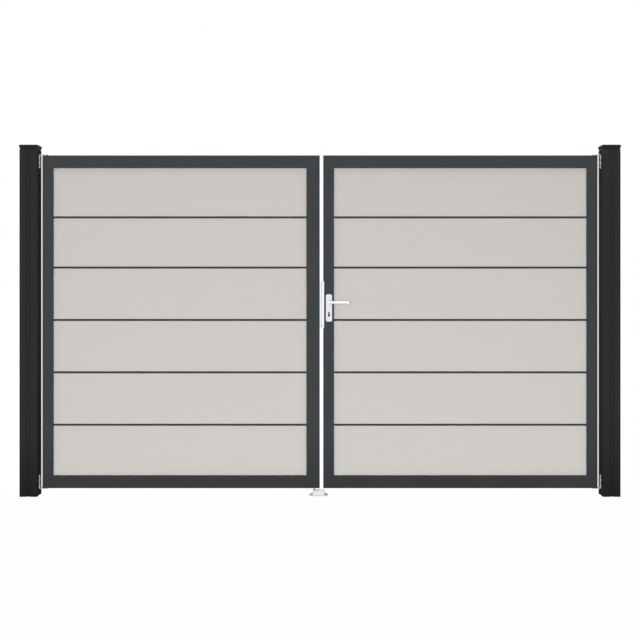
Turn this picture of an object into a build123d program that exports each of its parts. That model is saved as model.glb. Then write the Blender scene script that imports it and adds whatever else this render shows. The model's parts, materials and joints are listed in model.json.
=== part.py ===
"""Double gate: two board-filled leaves hung on corner pivots between two hollow posts.

X runs along the gate, Y to its back and Z up from the ground. The origin is the middle of the
left post's foot. The passive leaf hangs on the left post and the active leaf on the right one.
"""

import os

from build123d import *

# Leaves and the gaps around them, in millimetres.
leaf_height = 1800.0
passive_leaf_width = 1500.0
active_leaf_width = 1484.0
leaf_depth = 46.0
ground_gap = 42.0
hinge_gap = 22.0
leaf_gap = 19.0

# Frame extrusions.
stile_width = 58.0
passive_lock_stile_width = 72.0
rail_width = 68.0
frame_wall = 2.0
frame_edge_radius = 1.2
groove_depth = 12.0
groove_play = 0.3
cleat_length = 20.0

# Boards and the strips between them.
board_thickness = 16.0
board_face = 273.0
bottom_board_face = 268.0
board_end_play = 3.0
board_bevel = 0.8
cut_boards = 2
strip_face = 11.0
strip_web = 3.6
strip_flange = 1.8
strip_play = 0.2
strip_end_play = 0.3

# Posts and caps.
post_size = 96.0
post_rise = 55.0
post_wall = 3.5
post_web = 3.0
post_corner_radius = 3.0
channel_width = 20.0
channel_depth = 5.0
cap_lid = 15.0
cap_neck = 11.0
cap_neck_depth = 1.5
cap_overhang = 1.6
cap_bevel = 1.2

# Pivots.
pivot_inset = 16.0
pin_diameter = 14.0
pin_depth = 34.0
pin_clearance = 0.1
bracket_proud = 1.5
bracket_height = 74.0
bracket_play = 0.5
bracket_bend_radius = 4.0
arm_thickness = 5.0
arm_gap = 1.5
pin_collar_diameter = 18.0
pin_collar_play = 0.3
pivot_block_width = 27.0
pivot_block_height = 11.0
plug_depth = 40.0
plug_fit = 0.1

# Lock and its keep on the meeting edges.
lock_height = 254.0
lock_drop = 14.0
forend_proud = 3.0
forend_wrap = 4.5
forend_flange = 2.5
forend_corner_radius = 5.0
keep_clearance = 5.0
keep_depth = 42.0
keep_pocket_depth = 9.0
keep_corner_radius = 3.0
bolt_width = 14.0
latch_height = 34.0
latch_rise = 62.0
dead_bolt_height = 46.0
dead_bolt_drop = 66.0
bolt_play = 0.3
pocket_margin = 3.0

# Handle.
handle_height = 1048.0
handle_inset = 31.0
plate_width = 34.0
plate_above = 43.0
plate_below = 105.0
plate_thickness = 8.0
plate_corner_radius = 10.0
plate_edge_radius = 1.5
rosette_diameter = 24.0
rosette_height = 2.0
lever_diameter = 16.0
lever_reach = 111.0
lever_stand_off = 40.0
lever_end_radius = 2.5
lever_back_play = 1.0
spindle_size = 8.0
spindle_grip = 14.0
spindle_fit = 0.1
keyhole_drop = 72.0
keyhole_round = 11.5
keyhole_slot = 8.0
keyhole_height = 25.0
cylinder_recess = 0.6
cylinder_play = 0.3

# Drop bolt in the passive lock stile and its keeper on the ground.
rod_diameter = 10.0
rod_inset = 30.0
rod_tip = 33.0
rod_chamfer = 1.5
rod_travel = 24.0
rod_clearance = 0.1
rod_over_knob = 30.0
knob_height = 520.0
knob_diameter = 24.0
knob_length = 14.0
knob_stand_off = 8.0
knob_edge_radius = 3.0
stem_diameter = 8.0
spigot_diameter = 6.0
spigot_fit = 0.05
stem_seat = 0.3
slot_play = 0.6
slot_plate_width = 32.0
slot_plate_height = 110.0
slot_plate_thickness = 3.0
slot_plate_radius = 6.0
keeper_offset = 24.0
keeper_length = 102.0
keeper_depth = 66.0
keeper_base = 5.0
keeper_corner_radius = 10.0
keeper_top = 30.0
keeper_hump_length = 66.0
keeper_hump_depth = 50.0
keeper_crown_length = 62.0
keeper_crown_depth = 23.0
keeper_edge_radius = 2.0
keeper_hole_diameter = 9.0
keeper_hole_spacing = 82.0
socket_length = 11.0
socket_depth = 16.0
socket_floor = 5.0

# Derived positions.
opening_width = 2 * hinge_gap + passive_leaf_width + leaf_gap + active_leaf_width
gate_middle = post_size / 2 + opening_width / 2
hinge_edge = post_size / 2 + hinge_gap
pivot_x = hinge_edge + pivot_inset
leaf_top = ground_gap + leaf_height
half_depth = leaf_depth / 2
groove_width = board_thickness + 2 * groove_play
cap_height = cap_lid + cap_neck
post_height = leaf_top + post_rise - cap_height
passive_edge = hinge_edge + passive_leaf_width
active_edge = passive_edge + leaf_gap
lock_middle = handle_height - lock_drop
lock_bottom = lock_middle - lock_height / 2
keep_thickness = leaf_gap - forend_proud - keep_clearance
handle_x = active_edge + handle_inset
plate_middle = handle_height + (plate_above - plate_below) / 2
plate_face = half_depth + plate_thickness
keyhole_z = handle_height - keyhole_drop
rod_x = passive_edge - rod_inset
keeper_x = rod_x + keeper_offset
slot_length = rod_travel + stem_diameter + 2 * slot_play


def across_gate(shape):
    """Mirrors a shape from the left half of the gate to the right half."""
    return mirror(shape, about=Plane((gate_middle, 0, 0), z_dir=(1, 0, 0)))


def block(x_range, y_range, z_range):
    """Makes a box from its limits along each axis."""
    size = [high - low for low, high in (x_range, y_range, z_range)]
    middle = [(high + low) / 2 for low, high in (x_range, y_range, z_range)]
    return Pos(*middle) * Box(*size)


def front_plane(x, y, z):
    """Gives a drawing plane that faces the front, with its own Y up."""
    return Plane((x, y, z), x_dir=(1, 0, 0), z_dir=(0, -1, 0))


def rectangle(x_range, y_range):
    """Draws a rectangle from its limits."""
    (left, right), (low, high) = x_range, y_range
    return Pos((left + right) / 2, (low + high) / 2) * Rectangle(right - left, high - low)


def frame_outline(width):
    """Draws the outside of a frame extrusion, from its outer edge at zero."""
    return Pos(width / 2, 0) * RectangleRounded(width, leaf_depth, frame_edge_radius)


def frame_chamber(width, inset):
    """Draws the hollow of a frame extrusion, which reaches into the lips beside the groove."""
    reach = half_depth - frame_wall - inset
    lip = groove_width / 2 + frame_wall + inset
    hollow = rectangle((frame_wall + inset, width - frame_wall - inset), (-reach, reach))
    return hollow - rectangle((width - groove_depth - frame_wall - inset, width), (-lip, lip))


def frame_profile(width):
    """Draws a hollow frame extrusion with the board groove along its inner edge."""
    groove = rectangle((width - groove_depth, width), (-groove_width / 2, groove_width / 2))
    return frame_outline(width) - frame_chamber(width, 0) - groove


def hinge_side(z):
    """Gives the drawing plane of the hinge stile at a height above the leaf's bottom."""
    return Plane((hinge_edge, 0, ground_gap + z), x_dir=(1, 0, 0), z_dir=(0, 0, 1))


def lock_side(leaf_width, z):
    """Gives the drawing plane of the lock stile at a height above the leaf's bottom."""
    edge = hinge_edge + leaf_width
    return Plane((edge, 0, ground_gap + z), x_dir=(-1, 0, 0), z_dir=(0, 0, 1))


def pivot_corner(z):
    """Makes the corner piece of a pivot block from a height above the leaf's bottom."""
    corner = rectangle((0, pivot_block_width), (-half_depth, half_depth))
    return extrude(hinge_side(z) * (frame_outline(stile_width) & corner), pivot_block_height)


def pivot_blocks():
    """Makes the bearing blocks that close the two ends of a hinge stile."""
    plug = frame_chamber(stile_width, plug_fit)
    bearing = pin_diameter / 2 + pin_clearance
    blocks = []
    for plug_z, corner_z in (
        (0, 0),
        (leaf_height - plug_depth, leaf_height - pivot_block_height),
    ):
        solid = extrude(hinge_side(plug_z) * plug, plug_depth) + pivot_corner(corner_z)
        bore = extrude(hinge_side(plug_z) * Pos(pivot_inset, 0) * Circle(bearing), plug_depth)
        blocks.append(solid - bore)
    return Compound(blocks)


def lock_plugs(leaf_width, width):
    """Makes the plugs that close the two ends of a lock stile."""
    plug = frame_chamber(width, plug_fit)
    heights = (0, leaf_height - plug_depth)
    return [extrude(lock_side(leaf_width, z) * plug, plug_depth) for z in heights]


def rail(start, end, outer_z, inward):
    """Makes a rail with a cleat at each end that fills the groove of the stile there."""
    plane = Plane((start, 0, outer_z), x_dir=(0, 0, inward), z_dir=(1, 0, 0))
    bar = extrude(plane * frame_profile(rail_width), end - start)
    reach = groove_depth - board_end_play
    cleat_z = sorted((outer_z, outer_z + inward * (rail_width - groove_depth)))
    for low, high in ((start - reach, start + cleat_length), (end - cleat_length, end + reach)):
        bar += block((low, high), (-board_thickness / 2, board_thickness / 2), cleat_z)
    return bar


def strip(start, end, z):
    """Makes one strip between two boards."""
    inner = board_thickness / 2 + strip_play
    outer = inner + strip_flange
    bar = block((start, end), (-outer, outer), (z - strip_web / 2, z + strip_web / 2))
    for low, high in ((-outer, -inner), (inner, outer)):
        bar += block((start, end), (low, high), (z - strip_face / 2, z + strip_face / 2))
    return bar


def strip_heights():
    """Works out the middle height of each strip: full boards low down, cut ones sharing the rest."""
    first = ground_gap + rail_width + bottom_board_face + strip_face / 2
    clear = leaf_top - rail_width - first
    pitch = board_face + strip_face
    full_boards = int(clear // pitch) - cut_boards + 1
    heights = [first + n * pitch for n in range(full_boards + 1)]
    rest = clear - full_boards * pitch - strip_face / 2
    cut_pitch = (rest + strip_face) / cut_boards
    heights += [heights[-1] + n * cut_pitch for n in range(1, cut_boards)]
    return heights


def board(start, end, low, high):
    """Makes one board."""
    half = board_thickness / 2
    slab = block((start, end), (-half, half), (low, high))
    return chamfer(slab.edges().filter_by(Axis.X), board_bevel)


def leaf(name, leaf_width, lock_width):
    """Makes the frame and infill of a leaf hung on the left post, by node name."""
    start = hinge_edge + stile_width
    end = hinge_edge + leaf_width - lock_width
    nodes = {}
    stile = extrude(hinge_side(0) * frame_profile(stile_width), leaf_height)
    for z in (0, leaf_height - pivot_block_height):
        stile -= pivot_corner(z)
    nodes[name + "_hinge_stile"] = stile
    nodes[name + "_lock_stile"] = extrude(
        lock_side(leaf_width, 0) * frame_profile(lock_width), leaf_height
    )
    nodes[name + "_bottom_rail"] = rail(start, end, ground_gap, 1)
    nodes[name + "_top_rail"] = rail(start, end, leaf_top, -1)
    nodes[name + "_pivot_blocks"] = pivot_blocks()
    nodes[name + "_lock_stile_plugs"] = Compound(lock_plugs(leaf_width, lock_width))

    heights = strip_heights()
    nodes[name + "_divider_strips"] = Compound(
        [strip(start + strip_end_play, end - strip_end_play, z) for z in heights]
    )
    reach = groove_depth - board_end_play
    lows = [ground_gap + rail_width - groove_depth] + [z + strip_web / 2 for z in heights]
    highs = [z - strip_web / 2 for z in heights] + [leaf_top - rail_width + reach]
    for number, (low, high) in enumerate(zip(lows, highs), 1):
        nodes[f"{name}_board_{number}"] = board(start - reach, end + reach, low, high)
    return nodes


def post():
    """Makes the left post with a channel down each face and a cross of webs inside."""
    half = post_size / 2
    inner = half - post_wall
    side = channel_width / 2 + post_wall
    chamber = rectangle((post_web / 2, inner), (post_web / 2, inner))
    chamber -= rectangle((inner - channel_depth, inner), (post_web / 2, side))
    chamber -= rectangle((post_web / 2, side), (inner - channel_depth, inner))
    channel = rectangle((half - channel_depth, half), (-channel_width / 2, channel_width / 2))
    section = RectangleRounded(post_size, post_size, post_corner_radius)
    for turn in (0, 90, 180, 270):
        section -= Rot(0, 0, turn) * chamber
        section -= Rot(0, 0, turn) * channel
    return extrude(section, post_height)


def post_cap():
    """Makes the left post's cap: an overhanging lid on a neck that stands back as a shadow seam."""
    lid_size = post_size + 2 * cap_overhang
    lid_outline = RectangleRounded(lid_size, lid_size, post_corner_radius)
    lid = extrude(Pos(0, 0, post_height + cap_neck) * lid_outline, cap_lid)
    lid = chamfer(lid.edges().group_by(Axis.Z)[-1], cap_bevel)
    neck_size = post_size - 2 * cap_neck_depth
    neck_outline = RectangleRounded(neck_size, neck_size, post_corner_radius)
    return lid + extrude(Pos(0, 0, post_height) * neck_outline, cap_neck)


def pivot_bracket():
    """Makes the left post's top bracket: a bar bent from the channel over the leaf, with a pin."""
    back = post_size / 2 - channel_depth
    face = post_size / 2 + bracket_proud
    half = channel_width / 2 - bracket_play
    arm_low = leaf_top + arm_gap
    arm_high = arm_low + arm_thickness
    low = arm_high - bracket_height
    side = Plane((0, 0, 0), x_dir=(1, 0, 0), z_dir=(0, -1, 0))
    upright = rectangle((back, face), (low, arm_high))
    arm = rectangle((back, pivot_x + half), (arm_low, arm_high))
    bend = (upright + arm).vertices().sort_by_distance((face, arm_low))[0]
    bar = extrude(side * fillet(bend, bracket_bend_radius), half, both=True)
    plan = rectangle((back, pivot_x), (-half, half)) + Pos(pivot_x, 0) * Circle(half)
    bar &= extrude(Pos(0, 0, low) * plan, bracket_height)
    pin = Cylinder(pin_diameter / 2, pin_depth + arm_gap)
    bar += Pos(pivot_x, 0, arm_low - (pin_depth + arm_gap) / 2) * pin
    collar_height = arm_gap - pin_collar_play
    collar = Cylinder(pin_collar_diameter / 2, collar_height)
    return bar + Pos(pivot_x, 0, arm_low - collar_height / 2) * collar


def pivot_brackets():
    """Makes the left post's two brackets, the lower one being the upper one turned over."""
    top = pivot_bracket()
    half_way = Plane((0, 0, ground_gap + leaf_height / 2), z_dir=(0, 0, 1))
    return Compound([top, mirror(top, about=half_way)])


def lock_windows(margin):
    """Draws the latch and dead bolt outlines on the meeting edges, wider by a margin."""
    upper = Pos(0, lock_middle + latch_rise) * Rectangle(
        bolt_width + 2 * margin, latch_height + 2 * margin
    )
    lower = Pos(0, lock_middle - dead_bolt_drop) * Rectangle(
        bolt_width + 2 * margin, dead_bolt_height + 2 * margin
    )
    return Plane((0, 0, 0), x_dir=(0, 1, 0), z_dir=(1, 0, 0)) * (upper + lower)


def lock_forend():
    """Makes the channel around the active leaf's meeting edge, open at the two bolts."""
    outer = half_depth + forend_flange
    low, high = lock_bottom, lock_bottom + lock_height
    shell = block((active_edge - forend_proud, active_edge + forend_wrap), (-outer, outer), (low, high))
    free_edges = shell.edges().filter_by(Axis.Y).group_by(Axis.X)[-1]
    shell = fillet(free_edges, forend_corner_radius)
    shell -= block((active_edge, active_edge + forend_wrap), (-half_depth, half_depth), (low, high))
    windows = Pos(active_edge - forend_proud, 0, 0) * lock_windows(bolt_play)
    return shell - extrude(windows, forend_proud)


def lock_bolts():
    """Makes the latch and the dead bolt, both drawn back level with the forend."""
    heads = Pos(active_edge - forend_proud + bolt_play, 0, 0) * lock_windows(0)
    return Compound(extrude(heads, forend_proud - bolt_play).solids())


def lock_keep():
    """Makes the keep on the passive leaf's meeting edge with a pocket for each bolt."""
    far = passive_edge + keep_thickness
    half = keep_depth / 2
    body = block((passive_edge, far), (-half, half), (lock_bottom, lock_bottom + lock_height))
    body = fillet(body.edges().group_by(Axis.X)[-1], keep_corner_radius)
    windows = Pos(far - keep_pocket_depth, 0, 0) * lock_windows(pocket_margin)
    return body - extrude(windows, keep_pocket_depth)


def keyhole(margin):
    """Draws the keyhole around the middle of its round end, wider by a margin."""
    top = keyhole_height - keyhole_round / 2 - keyhole_slot / 2
    stem = rectangle((-keyhole_slot / 2 - margin, keyhole_slot / 2 + margin), (0, top))
    end = Pos(0, top) * Circle(keyhole_slot / 2 + margin)
    return Circle(keyhole_round / 2 + margin) + stem + end


def handle_plate():
    """Makes the front handle plate with its rosette, lever bore and keyhole."""
    outline = RectangleRounded(plate_width, plate_above + plate_below, plate_corner_radius)
    plate = extrude(front_plane(handle_x, -half_depth, plate_middle) * outline, plate_thickness)
    plate = fillet(plate.edges().group_by(Axis.Y)[0], plate_edge_radius)
    ring = Circle(rosette_diameter / 2)
    plate += extrude(front_plane(handle_x, -plate_face, handle_height) * ring, rosette_height)
    bore = Circle(lever_diameter / 2 + pin_clearance)
    through = plate_thickness + rosette_height
    plate -= extrude(front_plane(handle_x, -half_depth, handle_height) * bore, through)
    hole = front_plane(handle_x, -half_depth, keyhole_z) * keyhole(cylinder_play)
    return plate - extrude(hole, plate_thickness)


def lever():
    """Makes the front lever: a round bar turned square to one side with a mitred corner."""
    start = -half_depth - lever_back_play
    out = -plate_face - lever_stand_off
    tip = handle_x + lever_reach
    path = Pos(0, 0, handle_height) * Polyline((handle_x, start), (handle_x, out), (tip, out))
    section = front_plane(handle_x, start, handle_height) * Circle(lever_diameter / 2)
    bar = sweep(section, path, transition=Transition.RIGHT)
    return fillet(bar.faces().sort_by(Axis.X)[-1].edges(), lever_end_radius)


def spindle(fit):
    """Makes the square bar that joins the levers, wider by a fit all round."""
    half = spindle_size / 2 + fit
    reach = half_depth + lever_back_play + spindle_grip + fit
    x_range = (handle_x - half, handle_x + half)
    return block(x_range, (-reach, reach), (handle_height - half, handle_height + half))


def lock_cylinder(margin):
    """Makes the lock cylinder through the stile, wider by a margin all round."""
    reach = plate_face - cylinder_recess
    outline = front_plane(handle_x, 0, keyhole_z) * keyhole(margin)
    return extrude(outline, reach, both=True)


def rod():
    """Makes the drop bolt's rod with the cross hole for its knob."""
    top = knob_height + rod_over_knob
    bar = Pos(rod_x, 0, (rod_tip + top) / 2) * Cylinder(rod_diameter / 2, top - rod_tip)
    bar = chamfer(bar.edges().sort_by(Axis.Z)[0], rod_chamfer)
    hole = front_plane(rod_x, 0, knob_height) * Circle(spigot_diameter / 2 + spigot_fit)
    return bar - extrude(hole, rod_diameter, both=True)


def knob():
    """Makes the drop bolt's knob with the stem that reaches through the slot to the rod."""
    shoulder = rod_diameter / 2 + stem_seat
    head_start = half_depth + slot_plate_thickness + knob_stand_off
    back = Plane((rod_x, 0, knob_height), x_dir=(-1, 0, 0), z_dir=(0, 1, 0))
    head = extrude(back.offset(head_start) * Circle(knob_diameter / 2), knob_length)
    head = fillet(head.edges().filter_by(GeomType.CIRCLE), knob_edge_radius)
    stem = extrude(back.offset(shoulder) * Circle(stem_diameter / 2), head_start - shoulder)
    spigot = extrude(back * Circle(spigot_diameter / 2), shoulder)
    return head + stem + spigot


def bolt_slot(margin):
    """Makes the knob's upright slot as a cutter, wider by a margin all round."""
    outline = SlotOverall(slot_length + 2 * margin, stem_diameter + 2 * (slot_play + margin), 90)
    middle = knob_height - rod_travel / 2
    back = Plane((rod_x, 0, middle), x_dir=(-1, 0, 0), z_dir=(0, 1, 0))
    return extrude(back * outline, half_depth + slot_plate_thickness)


def bolt_slot_plate():
    """Makes the plate around the knob's slot on the passive lock stile's back."""
    middle = knob_height - rod_travel / 2
    back = Plane((rod_x, half_depth, middle), x_dir=(-1, 0, 0), z_dir=(0, 1, 0))
    outline = RectangleRounded(slot_plate_width, slot_plate_height, slot_plate_radius)
    return extrude(back * outline, slot_plate_thickness) - bolt_slot(0)


def floor_keeper():
    """Makes the drop bolt's keeper on the ground: a hump with sloping sides on a base plate."""
    outline = RectangleRounded(keeper_length, keeper_depth, keeper_corner_radius)
    base = extrude(Pos(keeper_x, 0, 0) * outline, keeper_base)
    foot = Pos(keeper_x, 0, keeper_base) * Rectangle(keeper_hump_length, keeper_hump_depth)
    crown = Pos(keeper_x, 0, keeper_top) * Rectangle(keeper_crown_length, keeper_crown_depth)
    hump = loft([foot, crown])
    rounded = hump.edges().group_by(Axis.Z)[1:]
    hump = fillet([edge for group in rounded for edge in group], keeper_edge_radius)
    for offset in (-keeper_hole_spacing / 2, keeper_hole_spacing / 2):
        base -= extrude(Pos(keeper_x + offset, 0, 0) * Circle(keeper_hole_diameter / 2), keeper_base)
    socket = block(
        (rod_x - socket_length / 2, rod_x + socket_length / 2),
        (-socket_depth / 2, socket_depth / 2),
        (socket_floor, keeper_top),
    )
    return base + hump - socket


nodes = leaf("passive", passive_leaf_width, passive_lock_stile_width)
active = leaf("active", active_leaf_width, stile_width)
nodes.update({name: across_gate(shape) for name, shape in active.items()})

nodes["left_post"] = post()
nodes["left_post_cap"] = post_cap()
nodes["left_pivot_brackets"] = pivot_brackets()
for piece in ("post", "post_cap", "pivot_brackets"):
    nodes["right_" + piece] = across_gate(nodes["left_" + piece])
nodes["floor_keeper"] = floor_keeper()

nodes["lock_keep"] = lock_keep()
nodes["bolt_slot_plate"] = bolt_slot_plate()
nodes["drop_rod"] = rod()
nodes["drop_knob"] = knob()
nodes["passive_lock_stile"] -= bolt_slot(slot_play)
rod_guide = Pos(rod_x, 0, ground_gap + plug_depth / 2) * Cylinder(
    rod_diameter / 2 + rod_clearance, plug_depth
)
nodes["passive_lock_stile_plugs"] = Compound(
    [plug - rod_guide for plug in nodes["passive_lock_stile_plugs"].solids()]
)

nodes["lock_forend"] = lock_forend()
nodes["lock_bolts"] = lock_bolts()
nodes["lock_cylinder"] = lock_cylinder(0)
nodes["front_handle_plate"] = handle_plate()
nodes["back_handle_plate"] = mirror(nodes["front_handle_plate"], about=Plane.XZ)
nodes["front_lever"] = lever() + spindle(0)
nodes["back_lever"] = mirror(lever(), about=Plane.XZ) - spindle(spindle_fit)
spindle_hole = front_plane(handle_x, 0, handle_height) * Circle(lever_diameter / 2)
nodes["active_lock_stile"] -= extrude(spindle_hole, leaf_depth, both=True)
nodes["active_lock_stile"] -= lock_cylinder(cylinder_play)

os.makedirs("parts", exist_ok=True)
for name, shape in nodes.items():
    export_step(shape, f"parts/{name}.step")
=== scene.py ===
"""Dresses the double gate: finishes, cover strips, fixings, key plugs, floor, lights and camera.

Lengths are in metres in the part's own frame: X along the gate, Y to its back, Z up.
"""

from __future__ import annotations

import json
import logging
import math
from dataclasses import dataclass, field
from enum import Enum

import bmesh
import bpy
from mathutils import Matrix, Vector

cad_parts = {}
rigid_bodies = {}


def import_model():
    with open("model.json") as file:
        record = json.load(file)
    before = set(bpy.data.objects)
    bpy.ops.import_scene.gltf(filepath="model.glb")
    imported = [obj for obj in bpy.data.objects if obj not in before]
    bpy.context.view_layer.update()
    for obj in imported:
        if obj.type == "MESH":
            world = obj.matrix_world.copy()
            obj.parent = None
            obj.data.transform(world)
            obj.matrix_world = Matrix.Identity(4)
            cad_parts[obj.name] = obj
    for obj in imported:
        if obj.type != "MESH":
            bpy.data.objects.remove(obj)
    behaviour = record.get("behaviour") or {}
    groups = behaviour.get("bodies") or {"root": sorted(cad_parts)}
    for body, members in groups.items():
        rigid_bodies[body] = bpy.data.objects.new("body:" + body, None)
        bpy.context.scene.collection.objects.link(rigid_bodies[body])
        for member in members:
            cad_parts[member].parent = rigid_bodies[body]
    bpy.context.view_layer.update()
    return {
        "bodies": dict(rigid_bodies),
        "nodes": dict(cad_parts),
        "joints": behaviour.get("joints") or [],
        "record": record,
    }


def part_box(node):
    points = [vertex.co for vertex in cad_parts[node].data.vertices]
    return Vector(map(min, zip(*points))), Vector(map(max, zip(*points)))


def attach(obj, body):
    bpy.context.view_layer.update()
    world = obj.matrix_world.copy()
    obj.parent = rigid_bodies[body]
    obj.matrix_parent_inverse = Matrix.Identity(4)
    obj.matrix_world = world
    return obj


LOG = logging.getLogger("double_gate")

Colour = tuple[float, float, float]
Point = tuple[float, float, float]

EVEN: Point = (1.0, 1.0, 1.0)
WHITE = (1.0, 1.0, 1.0, 1.0)
BLACK = (0.0, 0.0, 0.0, 1.0)

# Numbers of node sockets that share their names with other sockets of the same node.
MIX_FIRST, MIX_SECOND, MIX_RESULT = 6, 7, 2
RANDOM_MOST, RANDOM_RESULT = 3, 1

# The range that most of a noise value falls in.
NOISE_RANGE = (0.3, 0.7)

# Sides of small round heads and washers, and of hexagons.
ROUND_SIDES = 28
HEXAGON_SIDES = 6


class Body(Enum):
    """Names of the bodies that pieces ride on."""

    GROUND = "ground_frame"
    PASSIVE = "passive_leaf"
    ACTIVE = "active_leaf"


class Facing(Enum):
    """Outward directions of faces."""

    LEFT = (-1.0, 0.0, 0.0)
    RIGHT = (1.0, 0.0, 0.0)
    FRONT = (0.0, -1.0, 0.0)
    BACK = (0.0, 1.0, 0.0)
    UP = (0.0, 0.0, 1.0)


class Reaches(Enum):
    """The surfaces that a light reaches: the matt ones and the glossy ones."""

    ALL = (True, True)
    MATT = (True, False)
    GLOSSY = (False, True)


def srgb(red: int, green: int, blue: int) -> Colour:
    """Turns display values into the linear colour that a shader takes.

    Args:
        red: Display value from 0 to 255.
        green: Display value from 0 to 255.
        blue: Display value from 0 to 255.

    Returns:
        The linear colour.
    """

    def linear(value: int) -> float:
        """Gives one linear channel by the curve of the sRGB standard."""
        share = value / 255
        return share / 12.92 if share <= 0.04045 else ((share + 0.055) / 1.055) ** 2.4

    return linear(red), linear(green), linear(blue)


def grey(level: float) -> Colour:
    """Gives a neutral linear colour."""
    return level, level, level


def shade(colour: Colour, factor: float) -> Colour:
    """Lightens or darkens a colour.

    Args:
        colour: A linear colour.
        factor: Factor on each channel.

    Returns:
        The changed colour.
    """
    red, green, blue = colour
    return red * factor, green * factor, blue * factor


class Shader:
    """A material under construction, with the few node patterns that the finishes share."""

    def __init__(self, name: str) -> None:
        """Starts a material with one Principled shader.

        Args:
            name: The material's name.
        """
        self.material = bpy.data.materials.new(name)
        self.material.use_nodes = True
        self.tree = self.material.node_tree
        self.surface = self.tree.nodes["Principled BSDF"]
        self.place = self.tree.nodes.new("ShaderNodeTexCoord")

    def node(self, kind: str, **settings: object) -> bpy.types.Node:
        """Adds a node.

        Args:
            kind: Blender's node type.
            **settings: Attributes to set on it.

        Returns:
            The node.
        """
        made = self.tree.nodes.new(kind)
        for name, value in settings.items():
            setattr(made, name, value)
        return made

    def link(self, source: bpy.types.NodeSocket, target: bpy.types.NodeSocket) -> None:
        """Joins two sockets."""
        self.tree.links.new(source, target)

    def noise(
        self, scale: float, detail: float, rough: float, stretch: Point = EVEN
    ) -> bpy.types.NodeSocket:
        """Adds noise in the object's own space.

        Args:
            scale: Cells in a metre.
            detail: Octaves.
            rough: Weight of the finer octaves.
            stretch: Factor on the scale along each axis.

        Returns:
            The noise value's socket.
        """
        mapping = self.node("ShaderNodeMapping")
        mapping.inputs["Scale"].default_value = stretch
        self.link(self.place.outputs["Object"], mapping.inputs["Vector"])
        texture = self.node("ShaderNodeTexNoise")
        texture.inputs["Scale"].default_value = scale
        texture.inputs["Detail"].default_value = detail
        texture.inputs["Roughness"].default_value = rough
        self.link(mapping.outputs["Vector"], texture.inputs["Vector"])
        return texture.outputs["Fac"]

    def mapped(
        self,
        value: bpy.types.NodeSocket,
        given: tuple[float, float],
        wanted: tuple[float, float],
        **settings: object,
    ) -> bpy.types.NodeSocket:
        """Maps one range of a value to another and holds it at the ends.

        Args:
            value: The value's socket.
            given: Ends of the range that comes in.
            wanted: Ends of the range that goes out.
            **settings: Attributes to set on the node.

        Returns:
            The mapped value's socket.
        """
        span = self.node("ShaderNodeMapRange", **settings)
        names = ("From Min", "From Max", "To Min", "To Max")
        for name, number in zip(names, (*given, *wanted)):
            span.inputs[name].default_value = number
        self.link(value, span.inputs["Value"])
        return span.outputs["Result"]

    def between(
        self, value: bpy.types.NodeSocket, low: float, high: float
    ) -> bpy.types.NodeSocket:
        """Maps a noise value to a range.

        Args:
            value: The noise value.
            low: Result for dark noise.
            high: Result for bright noise.

        Returns:
            The mapped value's socket.
        """
        return self.mapped(value, NOISE_RANGE, (low, high))

    def by_height(
        self, heights: tuple[float, float], values: tuple[float, float]
    ) -> bpy.types.NodeSocket:
        """Gives a value that changes evenly with the height above the ground.

        Args:
            heights: Heights at which the change begins and ends, in metres.
            values: Values at those heights, and beyond them.

        Returns:
            The value's socket.
        """
        split = self.node("ShaderNodeSeparateXYZ")
        self.link(self.place.outputs["Object"], split.inputs["Vector"])
        return self.mapped(split.outputs["Z"], heights, values)

    def tint(
        self, value: bpy.types.NodeSocket, dark: Colour, light: Colour
    ) -> bpy.types.NodeSocket:
        """Maps a noise value to a colour between two tones.

        Args:
            value: The noise value.
            dark: Tone for dark noise.
            light: Tone for bright noise.

        Returns:
            The colour's socket.
        """
        ramp = self.node("ShaderNodeValToRGB")
        for stop, position, tone in zip(ramp.color_ramp.elements, NOISE_RANGE, (dark, light)):
            stop.position = position
            stop.color = (*tone, 1.0)
        self.link(value, ramp.inputs["Fac"])
        return ramp.outputs["Color"]

    def multiply(self, *colours: bpy.types.NodeSocket) -> bpy.types.NodeSocket:
        """Multiplies colours with each other.

        Args:
            *colours: Sockets of two colours or more.

        Returns:
            The product's socket.
        """
        product = colours[0]
        for colour in colours[1:]:
            mix = self.node("ShaderNodeMix", data_type="RGBA", blend_type="MULTIPLY")
            mix.inputs["Factor"].default_value = 1.0
            self.link(product, mix.inputs[MIX_FIRST])
            self.link(colour, mix.inputs[MIX_SECOND])
            product = mix.outputs[MIX_RESULT]
        return product

    def bump(self, height: bpy.types.NodeSocket, depth: float, strength: float) -> None:
        """Raises the surface by a height field, over any bump set before.

        Args:
            height: The height's socket.
            depth: Height of the full range, in metres.
            strength: Share of the effect.
        """
        made = self.node("ShaderNodeBump")
        made.inputs["Distance"].default_value = depth
        made.inputs["Strength"].default_value = strength
        self.link(height, made.inputs["Height"])
        target = self.surface.inputs["Normal"]
        if target.is_linked:
            self.link(target.links[0].from_socket, made.inputs["Normal"])
        self.link(made.outputs["Normal"], target)


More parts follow.
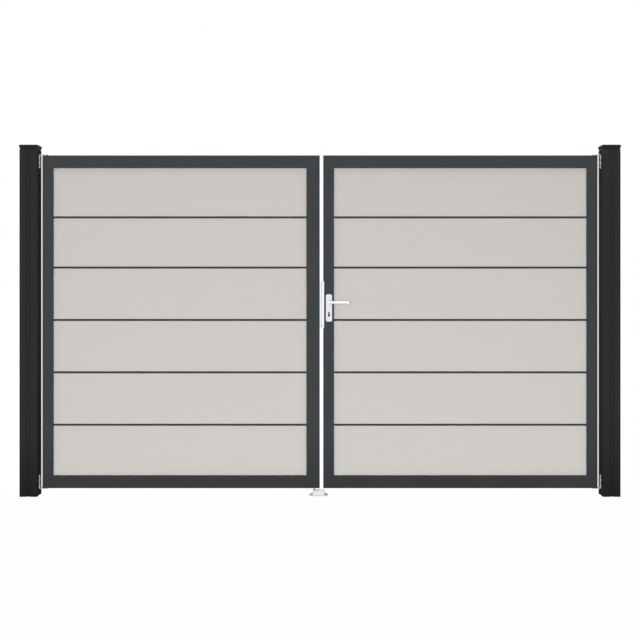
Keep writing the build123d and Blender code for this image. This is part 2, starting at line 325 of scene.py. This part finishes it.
@dataclass(frozen=True)
class PowderCoat:
    """Matt powder coat on metal: a fine sanded texture, with painted shade that darkens it
    towards the foot.
    """

    name: str
    colour: Colour
    roughness: float
    gloss: float
    # Factor of the painted shade on the colour at the ground, and the height where that painted
    # shade fades out.
    foot_shade: float
    foot_shade_height: float = 0.32
    grain: float = 1100.0

    def build(self) -> bpy.types.Material:
        """Makes the material."""
        made = Shader(self.name)
        cloud = made.noise(scale=3.0, detail=3.0, rough=0.55)
        speck = made.noise(scale=self.grain, detail=2.0, rough=0.6)
        swell = made.noise(scale=260.0, detail=1.0, rough=0.5)
        tone = made.tint(cloud, dark=shade(self.colour, 0.95), light=shade(self.colour, 1.05))
        flecks = made.tint(speck, dark=grey(0.86), light=grey(1.1))
        # Painted shade: the base colour is darkened towards the ground.
        foot = made.by_height((0.0, self.foot_shade_height), (self.foot_shade, 1.0))
        rough = made.between(speck, low=self.roughness - 0.05, high=self.roughness + 0.06)
        made.link(made.multiply(tone, flecks, foot), made.surface.inputs["Base Color"])
        made.link(rough, made.surface.inputs["Roughness"])
        made.surface.inputs["Specular IOR Level"].default_value = self.gloss
        made.bump(swell, depth=0.00012, strength=0.25)
        made.bump(speck, depth=0.00008, strength=0.35)
        return made.material


@dataclass(frozen=True)
class BoardSkin:
    """Pale matt board skin with a faint grain along the board, with painted light that makes it
    paler at the foot and painted shade that makes it darker at the head.
    """

    name: str
    colour: Colour
    roughness: float = 0.62
    gloss: float = 0.35
    # Heights and factors of the painted light at the foot and the painted shade at the head.
    heights: tuple[float, float] = (0.1, 1.9)
    painted_light_tones: tuple[float, float] = (1.035, 0.93)

    def build(self) -> bpy.types.Material:
        """Makes the material."""
        made = Shader(self.name)
        streak = made.noise(scale=5.0, detail=5.0, rough=0.6, stretch=(0.35, 6.0, 42.0))
        fibre = made.noise(scale=160.0, detail=3.0, rough=0.6, stretch=(0.05, 1.0, 2.2))
        speck = made.noise(scale=900.0, detail=2.0, rough=0.5)
        tone = made.tint(streak, dark=shade(self.colour, 0.985), light=shade(self.colour, 1.015))
        grain = made.tint(fibre, dark=grey(0.975), light=grey(1.02))
        dust = made.tint(speck, dark=grey(0.97), light=grey(1.02))
        # Painted light and shade: the base colour is paler at the foot, as if lit by the floor,
        # and darker towards the head.
        height = made.by_height(self.heights, self.painted_light_tones)
        rough = made.between(fibre, low=self.roughness - 0.05, high=self.roughness + 0.07)
        made.link(made.multiply(tone, grain, dust, height), made.surface.inputs["Base Color"])
        made.link(rough, made.surface.inputs["Roughness"])
        made.surface.inputs["Specular IOR Level"].default_value = self.gloss
        made.bump(fibre, depth=0.00015, strength=0.22)
        made.bump(speck, depth=0.00006, strength=0.2)
        return made.material


@dataclass(frozen=True)
class SatinMetal:
    """Bare or plated metal with fine brush lines along one axis."""

    name: str
    colour: Colour
    roughness: float
    brush: Point
    mottle: float = 0.04

    def build(self) -> bpy.types.Material:
        """Makes the material."""
        made = Shader(self.name)
        cloud = made.noise(scale=45.0, detail=3.0, rough=0.6)
        line = made.noise(scale=700.0, detail=3.0, rough=0.6, stretch=self.brush)
        low, high = 1.0 - self.mottle, 1.0 + self.mottle
        tone = made.tint(cloud, dark=shade(self.colour, low), light=shade(self.colour, high))
        lines = made.tint(line, dark=grey(0.94), light=grey(1.0))
        rough = made.between(line, low=self.roughness - 0.05, high=self.roughness + 0.08)
        made.link(made.multiply(tone, lines), made.surface.inputs["Base Color"])
        made.link(rough, made.surface.inputs["Roughness"])
        made.surface.inputs["Metallic"].default_value = 1.0
        made.bump(line, depth=0.00004, strength=0.2)
        return made.material


@dataclass(frozen=True)
class MouldedPlastic:
    """Moulded plastic, or a smooth black coat, with a spark-eroded grain."""

    name: str
    colour: Colour
    roughness: float
    gloss: float = 0.4

    def build(self) -> bpy.types.Material:
        """Makes the material."""
        made = Shader(self.name)
        cloud = made.noise(scale=30.0, detail=2.0, rough=0.5)
        grain = made.noise(scale=1400.0, detail=2.0, rough=0.55)
        tone = made.tint(cloud, dark=shade(self.colour, 0.9), light=shade(self.colour, 1.1))
        rough = made.between(grain, low=self.roughness - 0.06, high=self.roughness + 0.06)
        made.link(tone, made.surface.inputs["Base Color"])
        made.link(rough, made.surface.inputs["Roughness"])
        made.surface.inputs["Specular IOR Level"].default_value = self.gloss
        made.bump(grain, depth=0.00008, strength=0.3)
        return made.material


class Finishes:
    """The gate's finishes, made once, by the record's material slot or by node."""

    def __init__(self) -> None:
        """Makes every material."""
        upright = (1.0, 1.0, 0.03)
        recipes = {
            # The post and frame coats darken towards the ground with painted shade; the cap coat
            # has none.
            "post": PowderCoat(
                "charcoal_coat", srgb(45, 45, 45), roughness=0.6, gloss=0.01, foot_shade=0.56
            ),
            "post_cap": PowderCoat(
                "charcoal_cap_coat", srgb(36, 36, 36), roughness=0.56, gloss=0.04, foot_shade=1.0
            ),
            "frame": PowderCoat(
                "anthracite_coat", srgb(57, 61, 64), roughness=0.52, gloss=0.1, foot_shade=0.72
            ),
            "board": BoardSkin("pale_board_skin", srgb(197, 193, 189)),
            "dark_plastic": MouldedPlastic("black_moulding", srgb(26, 26, 27), roughness=0.5),
            "hinge_metal": SatinMetal(
                "plated_steel", srgb(214, 216, 217), roughness=0.42, brush=EVEN, mottle=0.06
            ),
            "keeper_metal": SatinMetal(
                "cast_keeper", srgb(232, 232, 232), roughness=0.45, brush=EVEN, mottle=0.03
            ),
            "lock_metal": SatinMetal(
                "satin_stainless", srgb(233, 235, 237), roughness=0.34, brush=upright
            ),
            "handle_metal": SatinMetal(
                "silver_anodised", srgb(252, 251, 248), roughness=0.34, brush=upright, mottle=0.02
            ),
            "cylinder_metal": MouldedPlastic("black_cylinder", srgb(14, 14, 14), roughness=0.35),
        }
        self.by_slot = {slot: recipe.build() for slot, recipe in recipes.items()}
        plate = SatinMetal(
            "satin_plate", srgb(225, 228, 231), roughness=0.38, brush=upright, mottle=0.02
        ).build()
        self.by_node = {"front_handle_plate": plate, "back_handle_plate": plate}

    def dress_nodes(self, frame: dict) -> None:
        """Gives every CAD node its own finish or that of its slot.

        Args:
            frame: The loaded frame.
        """
        for entry in frame["record"]["subparts"]:
            node = frame["nodes"][entry["node"]]
            coat = self.by_node.get(entry["node"], self.by_slot[entry["material_slot"]])
            node.data.materials.clear()
            node.data.materials.append(coat)
            LOG.info("node %s wears %s", entry["node"], coat.name)

    def finish(self, piece: bpy.types.Object, slot: str, body: Body) -> None:
        """Gives an added piece its finish and its body.

        Args:
            piece: The piece.
            slot: The record's material slot.
            body: The body that it rides on.
        """
        if not piece.data.materials:
            piece.data.materials.append(self.by_slot[slot])
        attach(piece, body.value)
        LOG.info("piece %s rides on %s", piece.name, body.value)


@dataclass(frozen=True)
class Fixing:
    """The place of one fixing on a face."""

    at: Point
    facing: Facing


@dataclass
class SocketScrews:
    """Chamfered screw heads with a hexagon socket, set out by geometry nodes.

    The crown is the share of the head's radius at its top. The tool that cuts the socket is as
    long and is raised as far as its two shares of the head's height say.
    """

    radius: float
    height: float
    socket: float
    crown: float = 0.84
    cut_length: float = 2.0
    cut_rise: float = 1.3
    seed: int = 7

    def tree(self) -> bpy.types.GeometryNodeTree:
        """Builds the node tree that sets a head on each point of a mesh.

        Returns:
            The tree.
        """
        tree = bpy.data.node_groups.new("socket_screws", "GeometryNodeTree")
        face = tree.interface
        face.new_socket("Points", in_out="INPUT", socket_type="NodeSocketGeometry")
        sizes = {
            "Head Radius": self.radius,
            "Head Height": self.height,
            "Socket Radius": self.socket,
        }
        for name, value in sizes.items():
            socket = face.new_socket(name, in_out="INPUT", socket_type="NodeSocketFloat")
            socket.default_value = value
        seed = face.new_socket("Seed", in_out="INPUT", socket_type="NodeSocketInt")
        seed.default_value = self.seed
        face.new_socket("Finish", in_out="INPUT", socket_type="NodeSocketMaterial")
        face.new_socket("Heads", in_out="OUTPUT", socket_type="NodeSocketGeometry")
        into = tree.nodes.new("NodeGroupInput")
        out = tree.nodes.new("NodeGroupOutput")
        link = tree.links.new

        head = tree.nodes.new("GeometryNodeMeshCone")
        head.inputs["Vertices"].default_value = ROUND_SIDES
        top = scaled(tree, into.outputs["Head Radius"], self.crown)
        link(into.outputs["Head Radius"], head.inputs["Radius Bottom"])
        link(top, head.inputs["Radius Top"])
        link(into.outputs["Head Height"], head.inputs["Depth"])
        hexagon = tree.nodes.new("GeometryNodeMeshCylinder")
        hexagon.inputs["Vertices"].default_value = HEXAGON_SIDES
        length = scaled(tree, into.outputs["Head Height"], self.cut_length)
        link(into.outputs["Socket Radius"], hexagon.inputs["Radius"])
        link(length, hexagon.inputs["Depth"])
        lift = tree.nodes.new("GeometryNodeTransform")
        rise = tree.nodes.new("ShaderNodeCombineXYZ")
        link(scaled(tree, into.outputs["Head Height"], self.cut_rise), rise.inputs["Z"])
        link(hexagon.outputs["Mesh"], lift.inputs["Geometry"])
        link(rise.outputs["Vector"], lift.inputs["Translation"])
        cut = tree.nodes.new("GeometryNodeMeshBoolean")
        cut.operation = "DIFFERENCE"
        link(head.outputs["Mesh"], cut.inputs["Mesh 1"])
        link(lift.outputs["Geometry"], cut.inputs["Mesh 2"])

        facing = tree.nodes.new("GeometryNodeInputNamedAttribute")
        facing.data_type = "FLOAT_VECTOR"
        facing.inputs["Name"].default_value = "facing"
        align = tree.nodes.new("FunctionNodeAlignRotationToVector")
        align.axis = "Z"
        link(facing.outputs["Attribute"], align.inputs["Vector"])
        spin = tree.nodes.new("FunctionNodeRandomValue")
        spin.data_type = "FLOAT"
        spin.inputs[RANDOM_MOST].default_value = math.tau / HEXAGON_SIDES
        link(into.outputs["Seed"], spin.inputs["Seed"])
        turn = tree.nodes.new("FunctionNodeAxisAngleToRotation")
        turn.inputs["Axis"].default_value = Facing.UP.value
        link(spin.outputs[RANDOM_RESULT], turn.inputs["Angle"])
        rotate = tree.nodes.new("FunctionNodeRotateRotation")
        rotate.rotation_space = "LOCAL"
        link(align.outputs["Rotation"], rotate.inputs["Rotation"])
        link(turn.outputs["Rotation"], rotate.inputs["Rotate By"])

        spread = tree.nodes.new("GeometryNodeInstanceOnPoints")
        link(into.outputs["Points"], spread.inputs["Points"])
        link(cut.outputs["Mesh"], spread.inputs["Instance"])
        link(rotate.outputs["Rotation"], spread.inputs["Rotation"])
        real = tree.nodes.new("GeometryNodeRealizeInstances")
        coat = tree.nodes.new("GeometryNodeSetMaterial")
        link(spread.outputs["Instances"], real.inputs["Geometry"])
        link(real.outputs["Geometry"], coat.inputs["Geometry"])
        link(into.outputs["Finish"], coat.inputs["Material"])
        link(coat.outputs["Geometry"], out.inputs["Heads"])
        return tree

    def place(
        self, name: str, fixings: list[Fixing], coat: bpy.types.Material
    ) -> bpy.types.Object:
        """Sets a head at each fixing and makes them one plain mesh.

        Args:
            name: The piece's name.
            fixings: Places of the heads.
            coat: Their material.

        Returns:
            The piece.
        """
        mesh = bpy.data.meshes.new(name + "_points")
        mesh.from_pydata([fixing.at for fixing in fixings], [], [])
        attribute = mesh.attributes.new("facing", "FLOAT_VECTOR", "POINT")
        normals = [number for fixing in fixings for number in fixing.facing.value]
        attribute.data.foreach_set("vector", normals)
        return realised(name, mesh, self.tree(), {"Finish": coat})


def scaled(
    tree: bpy.types.GeometryNodeTree, value: bpy.types.NodeSocket, factor: float
) -> bpy.types.NodeSocket:
    """Adds a node that multiplies a value.

    Args:
        tree: The node tree.
        value: The value's socket.
        factor: The factor on it.

    Returns:
        The product's socket.
    """
    made = tree.nodes.new("ShaderNodeMath")
    made.operation = "MULTIPLY"
    tree.links.new(value, made.inputs[0])
    made.inputs[1].default_value = factor
    return made.outputs[0]


def realised(
    name: str, mesh: bpy.types.Mesh, tree: bpy.types.GeometryNodeTree, inputs: dict[str, object]
) -> bpy.types.Object:
    """Runs a node tree on a mesh and keeps the result as a plain mesh.

    Args:
        name: The piece's name.
        mesh: The mesh that the tree starts from.
        tree: The node tree.
        inputs: Values for the tree's inputs, by socket name.

    Returns:
        The piece.
    """
    source = bpy.data.objects.new(name + "_source", mesh)
    bpy.context.scene.collection.objects.link(source)
    modifier = source.modifiers.new("nodes", "NODES")
    modifier.node_group = tree
    for item in tree.interface.items_tree:
        if item.in_out == "INPUT" and item.name in inputs:
            modifier[item.identifier] = inputs[item.name]
    graph = bpy.context.evaluated_depsgraph_get()
    result = bpy.data.meshes.new_from_object(source.evaluated_get(graph), depsgraph=graph)
    bpy.data.objects.remove(source)
    return linked(name, result)


def linked(name: str, mesh: bpy.types.Mesh) -> bpy.types.Object:
    """Puts a mesh into the scene as an object at the origin."""
    mesh.name = name
    piece = bpy.data.objects.new(name, mesh)
    bpy.context.scene.collection.objects.link(piece)
    return piece


@dataclass
class CoverStrips:
    """The strips that close the posts' free channels, with a fine gap along each side."""

    width: float = 0.015
    channel: float = 0.005
    set_back: float = 0.0004
    bevel: float = 0.0005
    end_gap: float = 0.001

    def build(self, finishes: Finishes) -> None:
        """Makes the strips at the front, the back and the outer side of both posts.

        Args:
            finishes: The gate's finishes.
        """
        mesh = bpy.data.meshes.new("post_cover_strips")
        made = bmesh.new()
        for node, outer in (("left_post", Facing.LEFT), ("right_post", Facing.RIGHT)):
            for facing in (Facing.FRONT, Facing.BACK, outer):
                self.add(made, node, Vector(facing.value))
        made.to_mesh(mesh)
        made.free()
        finishes.finish(linked("post_cover_strips", mesh), "post", Body.GROUND)

    def add(self, made: bmesh.types.BMesh, node: str, normal: Vector) -> None:
        """Adds one strip with bevelled front edges.

        Args:
            made: The mesh under construction.
            node: The post's node.
            normal: Outward direction of the face with the channel.
        """
        low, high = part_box(node)
        face = (low + high) / 2 + normal * abs(((high - low) / 2).dot(normal))
        across = normal.cross(Vector(Facing.UP.value))
        half = self.width / 2
        front = -self.set_back
        section = (
            (-half, -self.channel),
            (half, -self.channel),
            (half, front - self.bevel),
            (half - self.bevel, front),
            (self.bevel - half, front),
            (-half, front - self.bevel),
        )
        outline = [face + across * aside + normal * outward for aside, outward in section]
        foot = [made.verts.new((p.x, p.y, low.z + self.end_gap)) for p in outline]
        head = [made.verts.new((p.x, p.y, high.z - self.end_gap)) for p in outline]
        faces = [made.faces.new(foot), made.faces.new(head)]
        for n in range(len(outline)):
            m = (n + 1) % len(outline)
            faces.append(made.faces.new((foot[n], foot[m], head[m], head[n])))
        bmesh.ops.recalc_face_normals(made, faces=faces)


@dataclass
class PivotFixings:
    """The screws through the uprights of the pivot brackets."""

    screws: SocketScrews = field(
        default_factory=lambda: SocketScrews(radius=0.0058, height=0.001, socket=0.0027)
    )
    thickness: float = 0.0065
    from_end: tuple[float, float] = (0.03, 0.06)

    def build(self, finishes: Finishes) -> None:
        """Sets the screws on both posts.

        Args:
            finishes: The gate's finishes.
        """
        fixings = []
        sides = {"left_pivot_brackets": Facing.RIGHT, "right_pivot_brackets": Facing.LEFT}
        for node, side in sides.items():
            low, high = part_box(node)
            face = low.x + self.thickness if side is Facing.RIGHT else high.x - self.thickness
            for end, inward in ((low.z, 1.0), (high.z, -1.0)):
                for distance in self.from_end:
                    fixings.append(Fixing((face, 0.0, end + inward * distance), side))
        piece = self.screws.place("pivot_screws", fixings, finishes.by_slot["hinge_metal"])
        finishes.finish(piece, "hinge_metal", Body.GROUND)


@dataclass
class LockFixings:
    """The screws of the forend, the keep, the back handle plate and the bolt's slot plate."""

    screws: SocketScrews = field(
        default_factory=lambda: SocketScrews(radius=0.0042, height=0.0016, socket=0.002)
    )
    edge_inset: float = 0.012
    plate_inset: float = 0.013
    rosette: float = 0.002

    def build(self, finishes: Finishes) -> None:
        """Sets the screws on both leaves.

        Args:
            finishes: The gate's finishes.
        """
        active = self.ends("lock_forend", Facing.LEFT, self.edge_inset, 0.0)
        active += self.ends("back_handle_plate", Facing.BACK, self.plate_inset, self.rosette)
        piece = self.screws.place("lock_screws", active, finishes.by_slot["lock_metal"])
        finishes.finish(piece, "lock_metal", Body.ACTIVE)
        passive = self.ends("lock_keep", Facing.RIGHT, self.edge_inset, 0.0)
        passive += self.ends("bolt_slot_plate", Facing.BACK, self.plate_inset, 0.0)
        piece = self.screws.place("keep_screws", passive, finishes.by_slot["lock_metal"])
        finishes.finish(piece, "lock_metal", Body.PASSIVE)

    def ends(self, node: str, facing: Facing, inset: float, below: float) -> list[Fixing]:
        """Gives one fixing near each end of an upright plate.

        Args:
            node: The plate's node.
            facing: The face that carries the fixings.
            inset: Their distance from the plate's ends.
            below: How far that face lies behind the node's farthest point.

        Returns:
            The two fixings.
        """
        low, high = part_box(node)
        middle = (low + high) / 2
        normal = Vector(facing.value)
        spread = (high - low) / 2
        face = middle + normal * (abs(spread.dot(normal)) - below)
        return [Fixing((face.x, face.y, z), facing) for z in (low.z + inset, high.z - inset)]


@dataclass
class KeyPlug:
    """The turning plug in each face of the lock cylinder, with its key slot."""

    radius: float = 0.0043
    proud: float = 0.0003
    slot_width: float = 0.0012
    round_end: float = 0.00575
    rim_steps: int = 18

    def build(self, finishes: Finishes) -> None:
        """Makes the plugs at front and back.

        Args:
            finishes: The gate's finishes.
        """
        low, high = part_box("lock_cylinder")
        mesh = bpy.data.meshes.new("key_plugs")
        made = bmesh.new()
        for face, outward in ((low.y, -1.0), (high.y, 1.0)):
            centre = Vector(((low.x + high.x) / 2, face, low.z + self.round_end))
            self.add(made, centre, outward)
        made.to_mesh(mesh)
        made.free()
        finishes.finish(linked("key_plugs", mesh), "cylinder_metal", Body.ACTIVE)

    def add(self, made: bmesh.types.BMesh, centre: Vector, outward: float) -> None:
        """Adds one plug as a thin disc in two halves beside its slot.

        Args:
            made: The mesh under construction.
            centre: Middle of the cylinder's round end.
            outward: Direction of the face along Y.
        """
        reach = math.acos(self.slot_width / 2 / self.radius)
        proud = Vector((0.0, outward * self.proud, 0.0))
        for side in (-1.0, 1.0):
            rim = []
            for n in range(self.rim_steps + 1):
                angle = -reach + 2 * reach * n / self.rim_steps
                x = self.radius * math.cos(angle) * side
                rim.append(Vector((x, 0.0, self.radius * math.sin(angle))))
            back = [made.verts.new(centre + v) for v in rim]
            front = [made.verts.new(centre + v + proud) for v in rim]
            faces = [made.faces.new(front), made.faces.new(back)]
            for n in range(len(rim)):
                m = (n + 1) % len(rim)
                faces.append(made.faces.new((back[n], back[m], front[m], front[n])))
            bmesh.ops.recalc_face_normals(made, faces=faces)


@dataclass
class KeeperBolts:
    """The hexagon anchor bolts with washers that hold the keeper to the ground."""

    spacing: float = 0.082
    base: float = 0.005
    head_radius: float = 0.0065
    head_height: float = 0.0055
    washer_radius: float = 0.0076
    washer_thickness: float = 0.0016

    def build(self, finishes: Finishes) -> None:
        """Sets a bolt on each hole of the keeper.

        Args:
            finishes: The gate's finishes.
        """
        low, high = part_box("floor_keeper")
        middle = (low + high) / 2
        places = [(middle.x + side * self.spacing / 2, middle.y, self.base) for side in (-1, 1)]
        mesh = bpy.data.meshes.new("keeper_bolt_points")
        mesh.from_pydata(places, [], [])
        inputs = {"Finish": finishes.by_slot["keeper_metal"]}
        piece = realised("keeper_bolts", mesh, self.tree(), inputs)
        finishes.finish(piece, "keeper_metal", Body.GROUND)

    def tree(self) -> bpy.types.GeometryNodeTree:
        """Builds the node tree that sets a washer and a head on each point.

        Returns:
            The tree.
        """
        tree = bpy.data.node_groups.new("keeper_bolts", "GeometryNodeTree")
        face = tree.interface
        face.new_socket("Points", in_out="INPUT", socket_type="NodeSocketGeometry")
        sizes = {
            "Head Radius": self.head_radius,
            "Head Height": self.head_height,
            "Washer Radius": self.washer_radius,
            "Washer Thickness": self.washer_thickness,
        }
        for name, value in sizes.items():
            socket = face.new_socket(name, in_out="INPUT", socket_type="NodeSocketFloat")
            socket.default_value = value
        face.new_socket("Finish", in_out="INPUT", socket_type="NodeSocketMaterial")
        face.new_socket("Bolts", in_out="OUTPUT", socket_type="NodeSocketGeometry")
        into = tree.nodes.new("NodeGroupInput")
        out = tree.nodes.new("NodeGroupOutput")
        link = tree.links.new
        washer = tree.nodes.new("GeometryNodeMeshCylinder")
        washer.inputs["Vertices"].default_value = ROUND_SIDES
        link(into.outputs["Washer Radius"], washer.inputs["Radius"])
        link(into.outputs["Washer Thickness"], washer.inputs["Depth"])
        head = tree.nodes.new("GeometryNodeMeshCylinder")
        head.inputs["Vertices"].default_value = HEXAGON_SIDES
        link(into.outputs["Head Radius"], head.inputs["Radius"])
        link(into.outputs["Head Height"], head.inputs["Depth"])
        join = tree.nodes.new("GeometryNodeJoinGeometry")
        half_washer = scaled(tree, into.outputs["Washer Thickness"], 0.5)
        half_head = scaled(tree, into.outputs["Head Height"], 0.5)
        on_washer = tree.nodes.new("ShaderNodeMath")
        on_washer.operation = "ADD"
        link(half_head, on_washer.inputs[0])
        link(into.outputs["Washer Thickness"], on_washer.inputs[1])
        for part, height in ((washer, half_washer), (head, on_washer.outputs[0])):
            rise = tree.nodes.new("ShaderNodeCombineXYZ")
            lift = tree.nodes.new("GeometryNodeTransform")
            link(height, rise.inputs["Z"])
            link(part.outputs["Mesh"], lift.inputs["Geometry"])
            link(rise.outputs["Vector"], lift.inputs["Translation"])
            link(lift.outputs["Geometry"], join.inputs["Geometry"])
        spread = tree.nodes.new("GeometryNodeInstanceOnPoints")
        real = tree.nodes.new("GeometryNodeRealizeInstances")
        coat = tree.nodes.new("GeometryNodeSetMaterial")
        link(into.outputs["Points"], spread.inputs["Points"])
        link(join.outputs["Geometry"], spread.inputs["Instance"])
        link(spread.outputs["Instances"], real.inputs["Geometry"])
        link(real.outputs["Geometry"], coat.inputs["Geometry"])
        link(into.outputs["Finish"], coat.inputs["Material"])
        link(coat.outputs["Geometry"], out.inputs["Bolts"])
        return tree


@dataclass(frozen=True)
class Lamp:
    """A soft area light: its place seen from the gate's middle, size, watts and reach."""

    name: str
    at: Point
    size: tuple[float, float]
    power: float
    reaches: Reaches

    def build(self, middle: float, aim_height: float) -> None:
        """Makes the light, which faces the gate.

        Args:
            middle: Place of the gate's middle along X.
            aim_height: Height of the point that the light faces.
        """
        data = bpy.data.lights.new(self.name, "AREA")
        data.shape = "RECTANGLE"
        data.size, data.size_y = self.size
        data.energy = self.power
        lamp = bpy.data.objects.new(self.name, data)
        lamp.visible_diffuse, lamp.visible_glossy = self.reaches.value
        lamp.visible_camera = False
        aside, behind, height = self.at
        place = Vector((middle + aside, behind, height))
        aim = Vector((middle, 0.0, aim_height)) - place
        turn = aim.to_track_quat("-Z", "Y").to_matrix().to_4x4()
        lamp.matrix_world = Matrix.Translation(place) @ turn
        bpy.context.scene.collection.objects.link(lamp)


LAMPS = (
    Lamp("key_light", (-0.6, -12.0, 1.3), (3.0, 2.0), 985.0, Reaches.MATT),
    Lamp("back_light", (-0.8, 5.0, 7.0), (6.0, 4.0), 200.0, Reaches.ALL),
    Lamp("top_light", (0.0, -0.5, 6.5), (8.0, 6.0), 120.0, Reaches.ALL),
    Lamp("front_card", (-2.0, -7.0, 4.6), (14.0, 10.0), 400.0, Reaches.GLOSSY),
    Lamp("rear_card", (0.0, 9.0, 1.6), (5.0, 3.2), 85.0, Reaches.GLOSSY),
    Lamp("rear_light", (-2.5, 10.0, 3.0), (4.0, 3.0), 700.0, Reaches.MATT),
    Lamp("foot_light", (0.3, -1.6, 0.3), (3.6, 0.3), 2.2, Reaches.MATT),
)


@dataclass
class Studio:
    """Pale floor, soft lights and the camera in front of the gate.

    The floor's glow is its own light at the gate, and it grows to full white between the two
    shares of the radius. The surroundings' light goes from the front's level to the rear's
    along light_path, between the two values of light_turn.
    """

    middle: float = 1.5715
    distance: float = 6.0475
    eye: float = 1.185
    sensor: float = 36.0
    lens: float = 62.66
    shift: float = -0.0674
    aim_height: float = 0.9
    floor_radius: float = 14.0
    floor_sides: int = 96
    floor_glow: float = 0.955
    floor_rim: tuple[float, float] = (0.3, 0.8)
    front_level: float = 0.35
    rear_level: float = 0.15
    light_path: Point = (0.35, 1.0, 0.0)
    light_turn: tuple[float, float] = (-0.5, 0.7)

    def build(self) -> None:
        """Makes everything around the gate."""
        self.colours()
        self.floor()
        self.world()
        for lamp in LAMPS:
            lamp.build(self.middle, self.aim_height)
        self.camera()

    def colours(self) -> None:
        """Shows linear colours as they are, as a product picture does."""
        bpy.context.scene.view_settings.view_transform = "Standard"

    def floor(self) -> None:
        """Makes a round pale floor that turns to plain white light towards its rim."""
        mesh = bpy.data.meshes.new("floor")
        made = bmesh.new()
        bmesh.ops.create_circle(
            made,
            cap_ends=True,
            segments=self.floor_sides,
            radius=self.floor_radius,
            matrix=Matrix.Translation((self.middle, 0.0, 0.0)),
        )
        made.to_mesh(mesh)
        made.free()
        mesh.materials.append(self.floor_coat())
        floor = linked("floor", mesh)
        floor.visible_diffuse = False

    def floor_coat(self) -> bpy.types.Material:
        """Makes the floor's material.

        Returns:
            The material.
        """
        coat = Shader("pale_floor")
        away = coat.node("ShaderNodeVectorMath", operation="DISTANCE")
        away.inputs[1].default_value = (self.middle, 0.0, 0.0)
        coat.link(coat.place.outputs["Object"], away.inputs[0])
        start, stop = (self.floor_radius * share for share in self.floor_rim)
        glow = coat.mapped(
            away.outputs["Value"],
            (start, stop),
            (self.floor_glow, 1.0),
            interpolation_type="SMOOTHSTEP",
        )
        cloud = coat.noise(scale=0.8, detail=3.0, rough=0.5)
        white = coat.tint(cloud, dark=grey(0.92), light=grey(0.95))
        fade = coat.node("ShaderNodeMix", data_type="RGBA")
        coat.link(glow, fade.inputs["Factor"])
        coat.link(white, fade.inputs[MIX_FIRST])
        fade.inputs[MIX_SECOND].default_value = BLACK
        coat.link(fade.outputs[MIX_RESULT], coat.surface.inputs["Base Color"])
        coat.link(glow, coat.surface.inputs["Emission Strength"])
        coat.surface.inputs["Emission Color"].default_value = WHITE
        coat.surface.inputs["Roughness"].default_value = 0.9
        coat.surface.inputs["Specular IOR Level"].default_value = 0.05
        return coat.material

    def world(self) -> None:
        """Makes the surroundings: a white background, and light mostly from the front."""
        world = bpy.data.worlds.new("studio")
        bpy.context.scene.world = world
        world.use_nodes = True
        tree = world.node_tree
        place = tree.nodes.new("ShaderNodeTexCoord")
        along = tree.nodes.new("ShaderNodeVectorMath")
        along.operation = "DOT_PRODUCT"
        along.inputs[1].default_value = Vector(self.light_path).normalized()
        depth = tree.nodes.new("ShaderNodeMapRange")
        depth.interpolation_type = "SMOOTHSTEP"
        names = ("From Min", "From Max", "To Min", "To Max")
        ends = (*self.light_turn, self.front_level, self.rear_level)
        for name, value in zip(names, ends):
            depth.inputs[name].default_value = value
        tree.links.new(place.outputs["Generated"], along.inputs[0])
        tree.links.new(along.outputs["Value"], depth.inputs["Value"])
        path = tree.nodes.new("ShaderNodeLightPath")
        level = tree.nodes.new("ShaderNodeMapRange")
        level.inputs["To Max"].default_value = 1.0
        tree.links.new(depth.outputs["Result"], level.inputs["To Min"])
        tree.links.new(path.outputs["Is Camera Ray"], level.inputs["Value"])
        background = tree.nodes["Background"]
        background.inputs["Color"].default_value = WHITE
        tree.links.new(level.outputs["Result"], background.inputs["Strength"])

    def camera(self) -> None:
        """Makes the level camera in front of the gate."""
        data = bpy.data.cameras.new("camera")
        data.sensor_width = self.sensor
        data.lens = self.lens
        data.shift_y = self.shift
        camera = bpy.data.objects.new("camera", data)
        camera.location = (self.middle, -self.distance, self.eye)
        camera.rotation_euler = (math.pi / 2, 0.0, 0.0)
        bpy.context.scene.collection.objects.link(camera)
        bpy.context.scene.camera = camera


def main() -> None:
    """Loads the frame and builds the dressed gate in its studio."""
    logging.basicConfig(level=logging.INFO)
    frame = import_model()
    finishes = Finishes()
    finishes.dress_nodes(frame)
    CoverStrips().build(finishes)
    PivotFixings().build(finishes)
    LockFixings().build(finishes)
    KeyPlug().build(finishes)
    KeeperBolts().build(finishes)
    Studio().build()


if __name__ == "__main__":
    main()
